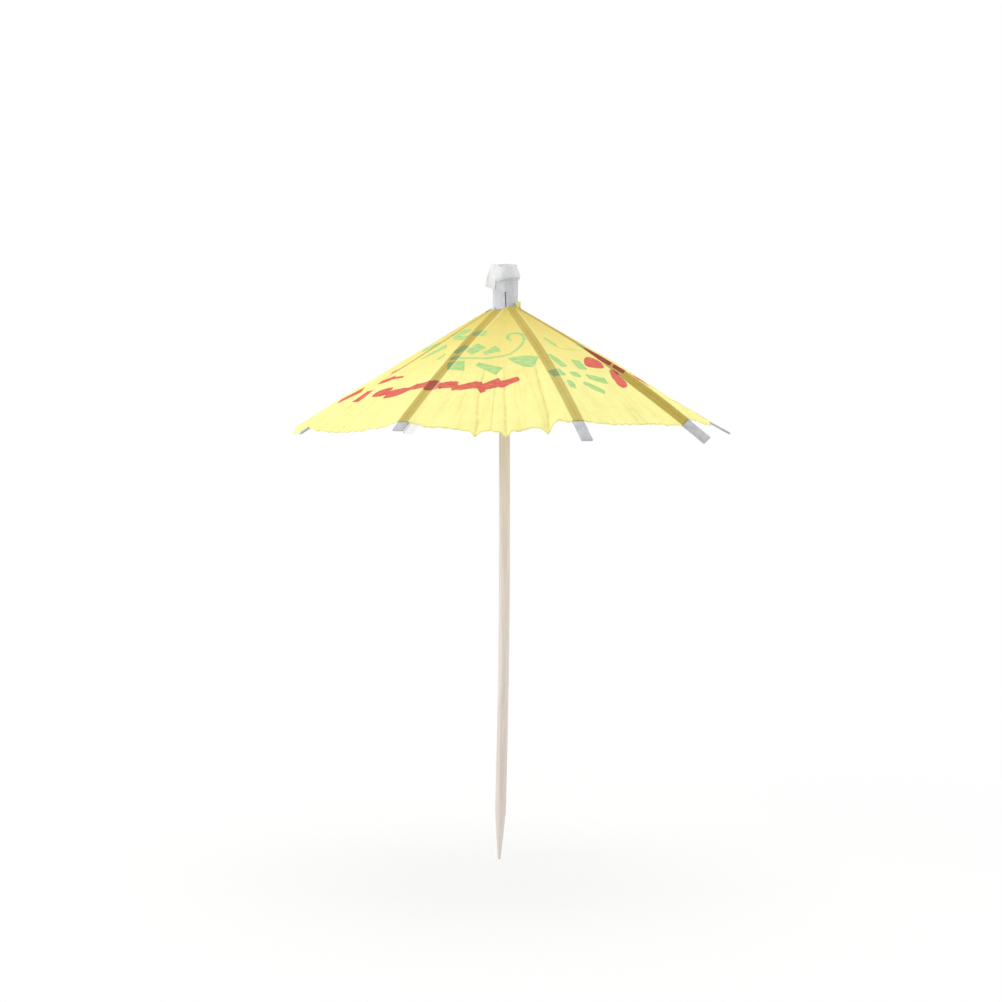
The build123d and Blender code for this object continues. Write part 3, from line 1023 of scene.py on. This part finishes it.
def dab_distance(places, dab):
    """Signed distance, in millimetres, from each place to the edge of a dab: negative inside it."""
    start, end = plan_place(*dab.start), plan_place(*dab.end)
    length = np.linalg.norm(end - start)
    way = (end - start) / length
    share = np.clip((places - start) @ way / length, 0, 1)
    half = dab.start_half + (dab.end_half - dab.start_half) * share + dab.bulge * 4 * share * (1 - share)
    beside = np.abs((places - start) @ np.array((-way[1], way[0]))) - half
    beyond = np.abs((places - start) @ way - length / 2) - length / 2
    return np.maximum(beside, beyond)


def smooth_line(points):
    """Points of a smooth line through a vine's points."""
    knots = [plan_place(*point) for point in points]
    knots = [2 * knots[0] - knots[1], *knots, 2 * knots[-1] - knots[-2]]
    line = []
    for a, b, c, d in zip(knots, knots[1:], knots[2:], knots[3:]):
        for step in range(samples_per_span):
            t = step / samples_per_span
            bend = (2 * a - 5 * b + 4 * c - d) * t * t + (3 * b - a - 3 * c + d) * t**3
            line.append(b + 0.5 * ((c - a) * t + bend))
    return np.array([*line, knots[-2]])


def vine_distance(places, points, half_width):
    """Signed distance from each place to the edge of a thin line."""
    nearest = np.full(len(places), far_away)
    line = smooth_line(points)
    for start, end in zip(line, line[1:]):
        way = end - start
        share = np.clip((places - start) @ way / (way @ way), 0, 1)[:, None]
        nearest = np.minimum(nearest, np.linalg.norm(places - start - share * way, axis=1))
    return nearest - half_width


def print_distances(places):
    """Distance from each place to the leaf ink and to the blossom ink, with the block used twice."""
    both_ways = (places, -places)
    blossom = [dab_distance(turned, dab) for turned in both_ways for dab in blossom_dabs]
    leaf = [dab_distance(turned, dab) for turned in both_ways for dab in leaf_dabs]
    leaf += [vine_distance(turned, *vine) for turned in both_ways for vine in vines]
    return {"leaf": np.min(leaf, axis=0), "blossom": np.min(blossom, axis=0)}


hub_distances = print_distances(np.zeros((1, 2)))
print("ink from the hub in mm:", {name: round(float(far[0]), 1) for name, far in hub_distances.items()})

# %% [markdown]
# ## The paper
# The disc of tissue is glued along the ribs and creased between them, where it pleats when the umbrella
# closes. It is one sheet, but it bends at every rib, so each rib carries two pieces that meet along the
# rib's middle and along the crease halfway to the next rib. A piece starts as a flat grid. Its first
# columns lie on the rib and the rest fan out to the crease, while its rows run from the hub to the rim.
# Everything that makes it look like paper is small: scallops pinked round the rim, a disc glued slightly
# off centre, creases that deepen towards the rim, and a lip where the hole was forced over the tines.

# %% paper layout
band_columns, gore_columns, hub_rows, paper_rows = 4, 48, 12, 122
scallops = 8
GoreWay = namedtuple("GoreWay", "belly short")
gore_ways = {
    1: GoreWay(belly=0.5, short=0.6),
    2: GoreWay(belly=0.3, short=0.4),
    3: GoreWay(belly=0.6, short=0.5),
    4: GoreWay(belly=0.4, short=0.3),
    5: GoreWay(belly=0.2, short=-0.2),
    6: GoreWay(belly=-0.3, short=0.5),
    7: GoreWay(belly=0.6, short=1.9),
    8: GoreWay(belly=0.5, short=1.2),
}
Crease = namedtuple("Crease", "start end begin depth")
front_gore = 6
front_creases = [
    Crease(start=0.18, end=0.12, begin=0.55, depth=0.2),
    Crease(start=0.32, end=0.41, begin=0.40, depth=0.9),
    Crease(start=0.57, end=0.59, begin=0.45, depth=1.1),
    Crease(start=0.66, end=0.68, begin=0.60, depth=0.3),
    Crease(start=0.80, end=0.83, begin=0.50, depth=0.3),
    Crease(start=0.97, end=0.835, begin=0.35, depth=1.2),
]
usual_creases = (0.22, 0.45, 0.7)
crease_sink, crease_point = 0.4, 1.0
RimMark = namedtuple("RimMark", "gore across width depth")
rim_marks = [RimMark(front_gore, 0.92, 0.05, 1.1), RimMark(4, 0.98, 0.3, -2.2)]
rim_marks += [RimMark(front_gore, fold.end, 0.05, -crease_point * fold.depth) for fold in front_creases]
print("gores:", len(gore_ways), "with", len(rim_marks), "marks on the rim")

# %% [markdown]
# In the frame each half gore is flat. Its plane goes through the rib's edge and the crease halfway to the
# next rib, and both lines meet at its apex above the hub. The class below finds that plane from the pleat
# joint. It also draws the gore's own creases and scallops, with a fixed seed so that they never change.


# %% planes of the half gores
class Gore:
    """The plane of the paper from one rib to the crease halfway to its neighbour."""

    def __init__(self, rib, side):
        word = "right" if side > 0 else "left"
        self.rib, self.side, self.word = rib, side, word
        self.neighbour = (rib.index - 1 + side) % rib_count + 1
        edge_point = Vector(joints[f"gore_{rib.index}_{word}_pleat"]["pos_m"])
        self.half_band = abs((edge_point - rib.crease).dot(rib.across))
        self.level = (edge_point - rib.crease).dot(rib.up)
        self.tangent = Matrix.Rotation(side * half_pitch, 3, "Z") @ rib.across
        along_tangent = rib.along.dot(self.tangent)
        self.apex = edge_point - rib.along * (edge_point.dot(self.tangent) / along_tangent)
        self.ridge = (rib.along - self.tangent * along_tangent).normalized()
        self.up = self.ridge.cross(self.tangent)
        self.inward = (self.ridge - rib.along * self.ridge.dot(rib.along)).normalized()
        self.angle = acos(self.ridge.dot(rib.along))
        self.start = (self.apex - rib.crease).dot(rib.along)
        node = nodes[f"canopy_{rib.index}_{word}"].data.vertices
        self.rim = max((vertex.co - self.apex).length for vertex in node)
        number = rib.index if side > 0 else self.neighbour
        self.number, self.way = number, gore_ways[number]
        chance = random.Random(number)
        self.creases = front_creases if number == front_gore else [
            Crease(
                start=where + chance.uniform(-0.06, 0.06), end=where + chance.uniform(-0.06, 0.06),
                begin=chance.uniform(0.5, 0.75), depth=chance.uniform(0.1, 0.4),
            )
            for where in usual_creases
        ]
        chance = random.Random(10 * rib.index + side)
        self.scallop_depths = [chance.uniform(0.08, 0.42) * MM for _ in range(scallops)]

    def across(self, share):
        """Share of the whole gore, from the rib before it to the rib after it."""
        return share / 2 if self.side > 0 else 1 - share / 2


sample_gore = Gore(first, 1)
print(f"gore half angle {degrees(sample_gore.angle):.2f} deg, rim {sample_gore.rim / MM:.1f} mm out")

# %% [markdown]
# The rim is cut with pinking shears and never quite round. Inside it, the paper bellies between the ribs,
# sinks at its creases and is finely crumpled. The creases drift a little on their way out, since a thumb
# made them.

# %% rim and relief
rim_inset = 0.4
crease_reach, crease_drift = 0.05, 0.03
coarse_crumple, fine_crumple = 0.14, 0.06


def rim_radius(gore, share):
    """Distance of the rim from the gore's apex: scalloped, and cut shorter in some places than in others."""
    lobe = min(scallops - 1, int(share * scallops))
    scallop = gore.scallop_depths[lobe] * sin(pi * (share * scallops - lobe))
    at_rib = rib_ways[gore.rib.index].short
    short = at_rib + (gore.way.short - at_rib) * sin(pi / 2 * share) ** 2
    for mark in rim_marks:
        if mark.gore == gore.number:
            beside = abs(gore.across(share) - mark.across) / mark.width
            short += mark.depth * max(0.0, 1 - beside) ** 1.3 * smoothstep(0, 0.06, share)
    return gore.rim - (short + rim_inset) * MM + scallop


def crease_lines(gore, share, run):
    """Distance across the gore to each crease, with the crease's depth and its growth towards the rim."""
    for crease in gore.creases:
        growth = max(0.0, (run - crease.begin) / (1 - crease.begin))
        where = crease.start + (crease.end - crease.start) * growth
        drift = crease_drift * noise.noise(Vector((6 * run, 40 * crease.end, 10 * crease.depth)))
        yield abs(gore.across(share) - where - drift), crease.depth, growth


def relief(gore, share, run, flat):
    """Height of the paper off its flat gore: its belly, creases towards the rim and a fine crumple."""
    height = gore.way.belly * sin(pi / 2 * share) * smoothstep(0.05, 0.7, run)
    for distance, depth, growth in crease_lines(gore, share, run):
        height -= crease_sink * depth * max(0.0, 1 - distance / crease_reach) ** 1.5 * growth**1.3
    spot = flat / MM
    crumple = coarse_crumple * noise.noise(spot * 0.2) + fine_crumple * noise.noise(spot * 0.6)
    height += crumple * smoothstep(0.1, 0.5, run)
    return height * MM * smoothstep(0, 0.1, share)


rim_ends = [round(rim_radius(sample_gore, share) / MM, 1) for share in (0, 1)]
print("rim at a rib and at the crease in mm:", rim_ends)

# %% [markdown]
# At the hub the paper has a hole that was forced over the tines. Its edge is ragged. It is torn away on
# the left, climbs the collar a little in front, and on the right one flap stands upright against it.

# %% hub edge
paper_start, hub_zone = 0.22 * MM, 1.8 * MM
tear_azimuth, tear_spread, tear_depth = radians(210), radians(50), 1.1 * MM
climb_azimuth, climb_spread, climb_height = radians(297), radians(32), 0.35 * MM
lip_azimuth, lip_height, lip_reach = radians(328), 1.15 * MM, 0.55 * MM
flap_outside, flap_inside = 0.962, 0.978
ragged_height = 0.3 * MM


def hub_start(gore, share):
    """Distance from the apex at which the paper starts: torn away further on the left."""
    azimuth = atan2(gore.rib.radial.y, gore.rib.radial.x) + gore.side * half_pitch * share
    torn = smoothstep(cos(tear_spread), 1.0, cos(azimuth - tear_azimuth))
    return paper_start + tear_depth * torn


def hub_flap(flat, out):
    """How far a place belongs to the flap of torn paper that stands against the collar, from 0 to 1."""
    facing = cos(atan2(flat.y, flat.x) - lip_azimuth)
    return smoothstep(flap_outside, flap_inside, facing) * (1 - smoothstep(paper_start, lip_reach, out))


def hub_lip(flat, out):
    """Shift of the torn edge round the hole: ragged all round, climbing in front, upright at the flap."""
    outward = Vector((flat.x, flat.y, 0)).normalized()
    near = max(0.0, 1 - out / hub_zone)
    climb = smoothstep(cos(climb_spread), 1.0, cos(atan2(flat.y, flat.x) - climb_azimuth))
    ragged = (ragged_height * max(0.0, noise.noise(outward * 2.5)) + climb_height * climb) * near**2
    flap = hub_flap(flat, out)
    upright = outward * max(0.0, lip_reach - out) * flap
    return UP * (ragged + lip_height * flap) + upright


print(f"hub: paper starts {hub_start(sample_gore, 0) / MM:.2f} mm from its apex, where it isn't torn")

# %% [markdown]
# One function now puts these together. It takes a point's column and row in the grid, finds its place on
# the flat gore, moves it with the bent ribs on both sides, and adds relief, soft bend and hub edge.


# %% places on the paper
def bend_lift(along):
    """How far the soft bend stands above the sharp corner of the rib's straight lines."""
    return max(0.0, bend_reach - along) ** 2 / (2 * bend_radius)


def paper_place(gore, column, row):
    """Place of one point of the paper, its flat place, share across, run and part in the flap."""
    share = max(0, column - band_columns) / gore_columns
    rim = rim_radius(gore, share)
    if row <= hub_rows:
        start = hub_start(gore, share)
        out = start + (hub_zone - start) * row / hub_rows
    else:
        out = hub_zone + (rim - hub_zone) * (row - hub_rows) / (paper_rows - hub_rows)
    rib, along, run = gore.rib, out + gore.start, out / rim
    on_band = min(1.0, column / band_columns)
    beside = (along, gore.side * gore.half_band * on_band, gore.level)
    flat, bent = rib.point(*beside), bent_place(rib, *beside)
    if column > band_columns:
        angle = gore.angle * (1 - share)
        heading = gore.ridge * cos(angle) - gore.tangent * (gore.side * sin(angle))
        near = (1 - share) ** 2
        middle_lift = (rib_lift(rib.index, along) + rib_lift(gore.neighbour, along)) / 2
        shift = (bent - flat) * near + gore.up * middle_lift * (1 - near)
        flat = gore.apex + heading * out
        bent = flat + shift
    bent += gore.up * relief(gore, share, run, flat)
    bent += rib.up.lerp(gore.up, share) * bend_lift(along) + hub_lip(flat, out)
    return bent, flat, share, run, hub_flap(flat, out)


middle = paper_place(sample_gore, band_columns + gore_columns, paper_rows)[0]
print("end of one crease in mm:", [round(value / MM, 1) for value in middle])

# %% [markdown]
# Each piece is a grid sent to its places. Its vertices also store what the tissue material reads: the
# distances to the ink and to the rib's edge, the strength of the painted shade over the rib, how far out the
# point is, the painted highlight beside a rib and the painted shade along the creases. The flat plan becomes
# the UV map. A Solidify modifier gives the paper its thickness and its underside. At the rib's edge the
# piece follows the rib on one side and the gore on the other.

# %% paper pieces
STORED = ("leaf", "blossom", "rib_edge", "shade", "run", "crest", "fold")
paper_thickness = 0.1 * MM
hub_shade = 0.6
# A painted highlight beside each rib: its offset and half width, and how bright it is on the lit and the
# shaded side.
crest_offset, crest_half, lit_crest, shaded_crest = 0.1, 0.2, 0.55, 0.1
# Painted shade along the creases: its mean strength, how much it varies, and how fast along the crease.
shade_line_mean, shade_line_range, shade_line_scale = 0.65, 0.7, 30
fold_sharpness = 1.5 * gore_columns


def stored_values(gore, flat, share, run, flap):
    """What one vertex stores besides its distances to the ink."""
    offset = flat - gore.rib.crease
    edge = (abs(offset.dot(gore.rib.across)) - rib_half_width(offset.dot(gore.rib.along))) / MM
    # The painted shade over the rib is made lighter towards the hub.
    band_shade_by_run = hub_shade + (1 - hub_shade) * smoothstep(0.05, 0.4, run)
    crest = lit_crest if gore.side > 0 else shaded_crest
    shade_line_strength = shade_line_mean + shade_line_range * noise.noise(Vector((shade_line_scale * run, 7 * gore.number, 0)))
    return {
        "rib_edge": edge,
        "shade": rib_ways[gore.rib.index].shade * band_shade_by_run * (1 - flap),
        # The upright flap takes the pale rim colour: painted light, as if the flap were lit.
        "run": run + flap,
        # Painted highlight beside the rib.
        "crest": max(0.0, 1 - abs(edge - crest_offset) / crest_half) * crest,
        # Painted shade along the creases.
        "fold": shade_line_strength * max(
            max(0.0, 1 - fold_sharpness * distance) * smoothstep(0, 0.3, growth) * min(1.0, depth + 0.1)
            for distance, depth, growth in crease_lines(gore, share, run)
        ),
    }


def make_paper(gore):
    """One piece of the canopy, from the middle of its rib to the crease beside it."""
    bm = bmesh.new()
    columns = band_columns + gore_columns
    bmesh.ops.create_grid(bm, x_segments=columns, y_segments=paper_rows, size=1)
    layers = {name: bm.verts.layers.float.new(name) for name in STORED}
    plan = bm.loops.layers.uv.new("plan")
    flats, verts = [], list(bm.verts)
    for vertex in verts:
        column = round((vertex.co.x + 1) / 2 * columns)
        row = round((vertex.co.y + 1) / 2 * paper_rows)
        vertex.co, flat, share, run, flap = paper_place(gore, column, row)
        flats.append((flat.x / MM, flat.y / MM))
        for name, value in stored_values(gore, flat, share, run, flap).items():
            vertex[layers[name]] = value
    for name, distances in print_distances(np.array(flats)).items():
        for vertex, distance in zip(verts, distances):
            vertex[layers[name]] = distance
    bm.verts.index_update()
    for face in bm.faces:
        for loop in face.loops:
            loop[plan].uv = flats[loop.vert.index]
    bmesh.ops.recalc_face_normals(bm, faces=bm.faces)
    bm.normal_update()
    if sum(face.normal.z for face in bm.faces) < 0:
        bmesh.ops.reverse_faces(bm, faces=bm.faces)
    name = f"canopy_paper_{gore.rib.index}_{gore.word}"
    piece = finish_piece(bm, name, tissue, tissue_underside, sharp_angle=180)
    skin = piece.modifiers.new("paper thickness", "SOLIDIFY")
    skin.thickness = paper_thickness
    skin.offset = 0
    skin.material_offset = 1
    root = gore.rib.point(0, gore.side * gore.half_band, gore.level)
    tip = bent_place(gore.rib, rib_length, gore.side * gore.half_band, gore.level)
    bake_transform(piece)
    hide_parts(f"canopy_{gore.rib.index}_{gore.word}")
    return piece


papers = [make_paper(Gore(rib, side)) for rib in ribs.values() for side in (-1, 1)]
for rib in ribs.values():
    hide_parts(f"canopy_strip_{rib.index}")
print("canopy:", len(papers), "pieces of", len(papers[0].data.polygons), "faces")

# %% [markdown]
# ## Stage
# The umbrella stands on white with no horizon. The floor is a large plane at the pick's tip. Its material
# shines white to the camera but keeps some plain diffuse white, so a soft shadow still falls on it. It
# shines more faintly on the object, as a lit sweep of white card does, which brightens the undersides. The
# world does the same: white where the camera or a reflection looks, and a gentler light elsewhere.


# %% stage
def white_to_camera(tree):
    """1 where the camera, a reflection or something seen through looks, 0 for other light."""
    path = place(tree, "ShaderNodeLightPath").outputs
    seen = calculate(tree, "MAXIMUM", path["Is Camera Ray"], path["Is Glossy Ray"])
    return calculate(tree, "MAXIMUM", seen, path["Is Transmission Ray"])


floor_size = 4.0
floor_bounce = 0.4
shadow_white, shadow_near, shadow_far = 0.72, 0.03, 0.22
sky_light = 0.48
bm = bmesh.new()
bmesh.ops.create_grid(
    bm, x_segments=8, y_segments=8, size=floor_size, matrix=Matrix.Translation((0, 0, pick_low.z))
)
floor_white, tree, shader = new_material("floor_white", Base_Color=(0.9, 0.9, 0.9, 1), Roughness=0.9)
glow = place(tree, "ShaderNodeEmission", {"Color": (1, 1, 1, 1), "Strength": 1.0})
spot = place(tree, "ShaderNodeTexCoord").outputs["Object"]
distance = place(tree, "ShaderNodeVectorMath", {0: spot}, operation="LENGTH").outputs["Value"]
shine = ramp(tree, distance, shadow_near, shadow_far, shadow_white, 1.0)
seen_or_bounced = calculate(tree, "MAXIMUM", white_to_camera(tree), floor_bounce)
share = calculate(tree, "MULTIPLY", seen_or_bounced, shine)
surface = place(tree, "ShaderNodeMixShader", {0: share, 1: shader.outputs[0], 2: glow.outputs[0]})
tree.links.new(surface.outputs[0], tree.nodes["Material Output"].inputs["Surface"])
floor = finish_piece(bm, "floor", floor_white)

scene = bpy.context.scene
scene.view_settings.view_transform = "Standard"
world = bpy.data.worlds.new("studio")
scene.world = world
world.use_nodes = True
tree = world.node_tree
sky = place(tree, "ShaderNodeBackground", {"Color": (1, 1, 1, 1), "Strength": sky_light})
seen_white = place(tree, "ShaderNodeBackground", {"Color": (1, 1, 1, 1), "Strength": 1.0})
backdrop = {0: white_to_camera(tree), 1: sky.outputs[0], 2: seen_white.outputs[0]}
both = place(tree, "ShaderNodeMixShader", backdrop)
tree.links.new(both.outputs[0], tree.nodes["World Output"].inputs["Surface"])
print("stage: floor at", round(pick_low.z / MM, 1), "mm")

# %% [markdown]
# ## Light
# The original light is a tent: soft from both sides and above, weaker from the front. Three large area
# lamps give that. They are nearly as large as they are far away, so shadows stay soft.

# %% lamps
lamp_target = Vector((0, 0, 0.07))


def add_lamp(name, place_at, size, power):
    """A square soft box aimed at the canopy."""
    lamp = bpy.data.lights.new(name, "AREA")
    lamp.size = size
    lamp.energy = power
    holder = bpy.data.objects.new(name, lamp)
    holder.location = place_at
    aim = lamp_target - Vector(place_at)
    holder.rotation_euler = aim.to_track_quat("-Z", "Y").to_euler()
    scene.collection.objects.link(holder)


add_lamp("left_softbox", (-0.55, -0.25, 0.35), 0.5, 2.2)
add_lamp("right_softbox", (0.6, -0.05, 0.3), 0.45, 1.3)
add_lamp("top_softbox", (0.0, 0.15, 0.75), 0.5, 2.2)
print("lamps:", [item.name for item in bpy.data.lights])

# %% [markdown]
# ## Camera
# The photograph was taken from nearly level with the rim, a little to the right of one gore's middle. The
# camera stands 350 mm away and rolls by less than a degree, because the pick leans so in the picture.

# %% camera
camera_distance = 350 * MM
camera_azimuth = radians(3.5)
eye_height = 68 * MM
aim_height = 53.3 * MM
aim_left = 0.44 * MM
roll = radians(0.7)
picture_width = 1002
pixels_per_mm = 5.842
camera = bpy.data.cameras.new("camera")
camera.sensor_width = 36
camera.lens = camera.sensor_width * pixels_per_mm * camera_distance / MM / picture_width
camera.clip_start = 0.01
camera.clip_end = 50
viewpoint = bpy.data.objects.new("camera", camera)
sideways = Vector((cos(camera_azimuth), sin(camera_azimuth), 0))
eye = Vector((sin(camera_azimuth), -cos(camera_azimuth), 0)) * camera_distance + UP * eye_height
aim = UP * aim_height - sideways * aim_left
viewpoint.location = eye - sideways * aim_left
facing = (aim - viewpoint.location).to_track_quat("-Z", "Y").to_matrix() @ Matrix.Rotation(roll, 3, "Z")
viewpoint.rotation_euler = facing.to_euler()
scene.collection.objects.link(viewpoint)
scene.camera = viewpoint
print(f"camera: {camera.lens:.1f} mm lens")

# %% [markdown]
# ## The end
# The scene is complete.

# %% end
print("scene complete")
